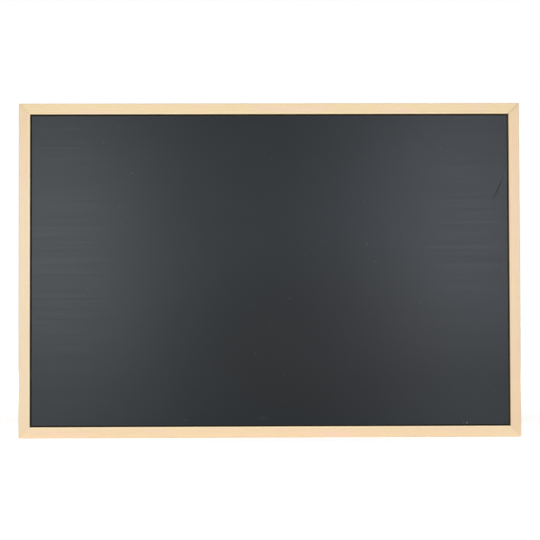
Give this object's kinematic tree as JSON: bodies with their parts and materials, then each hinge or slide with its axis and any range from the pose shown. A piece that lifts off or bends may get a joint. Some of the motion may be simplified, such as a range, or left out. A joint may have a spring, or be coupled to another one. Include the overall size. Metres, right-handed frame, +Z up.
{
  "type": "framed chalkboard",
  "caption": "Landscape matt black chalkboard in a slim mitred pine frame, with swinging D-ring strap hangers and rubber bumpers on its back.",
  "frame": {"origin": "centre of the frame's bottom edge: mid length of the bottom rail's underside, mid depth of the wood", "axes": "+X to the right as seen from the writing side, +Y from the writing side to the wall, +Z up the board"},
  "size_m": [0.9, 0.023, 0.6],
  "materials": {
    "pine": "planed pine under a thin clear lacquer",
    "black_lacquer": "matt black chalkboard lacquer on steel sheet",
    "fibreboard": "raw fibreboard",
    "hardboard": "brown hardboard, smooth face out",
    "spring_steel": "blued strip steel",
    "zinc_plate": "bright zinc plate on steel",
    "rubber": "matt black moulded rubber"
  },
  "bodies": {
    "board": {"top_rail": "pine", "bottom_rail": "pine", "left_stile": "pine", "right_stile": "pine", "chalk_sheet": "black_lacquer", "core_board": "fibreboard", "back_panel": "hardboard", "v_nail_bottom_left_1": "spring_steel", "v_nail_bottom_left_2": "spring_steel", "v_nail_top_left_1": "spring_steel", "v_nail_top_left_2": "spring_steel", "v_nail_top_right_1": "spring_steel", "v_nail_top_right_2": "spring_steel", "v_nail_bottom_right_1": "spring_steel", "v_nail_bottom_right_2": "spring_steel", "panel_point_left_1": "spring_steel", "panel_point_left_2": "spring_steel", "panel_point_left_3": "spring_steel", "panel_point_top_1": "spring_steel", "panel_point_top_2": "spring_steel", "panel_point_top_3": "spring_steel", "panel_point_top_4": "spring_steel", "panel_point_top_5": "spring_steel", "panel_point_right_1": "spring_steel", "panel_point_right_2": "spring_steel", "panel_point_right_3": "spring_steel", "panel_point_bottom_1": "spring_steel", "panel_point_bottom_2": "spring_steel", "panel_point_bottom_3": "spring_steel", "panel_point_bottom_4": "spring_steel", "panel_point_bottom_5": "spring_steel", "left_hanger_strap": "zinc_plate", "left_hanger_screw_upper": "zinc_plate", "left_hanger_screw_lower": "zinc_plate", "right_hanger_strap": "zinc_plate", "right_hanger_screw_upper": "zinc_plate", "right_hanger_screw_lower": "zinc_plate", "left_bumper": "rubber", "right_bumper": "rubber"},
    "left_ring": {"left_hanger_ring": "zinc_plate"},
    "right_ring": {"right_hanger_ring": "zinc_plate"}
  },
  "joints": [
    {"name": "left_ring_swing", "type": "hinge", "parent": "board", "child": "left_ring", "pos_m": [-0.4422, 0.0112, 0.48], "axis": [1, 0, 0], "range_deg": [0, 178]},
    {"name": "right_ring_swing", "type": "hinge", "parent": "board", "child": "right_ring", "pos_m": [0.4422, 0.0112, 0.48], "axis": [1, 0, 0], "range_deg": [0, 178]}
  ]
}
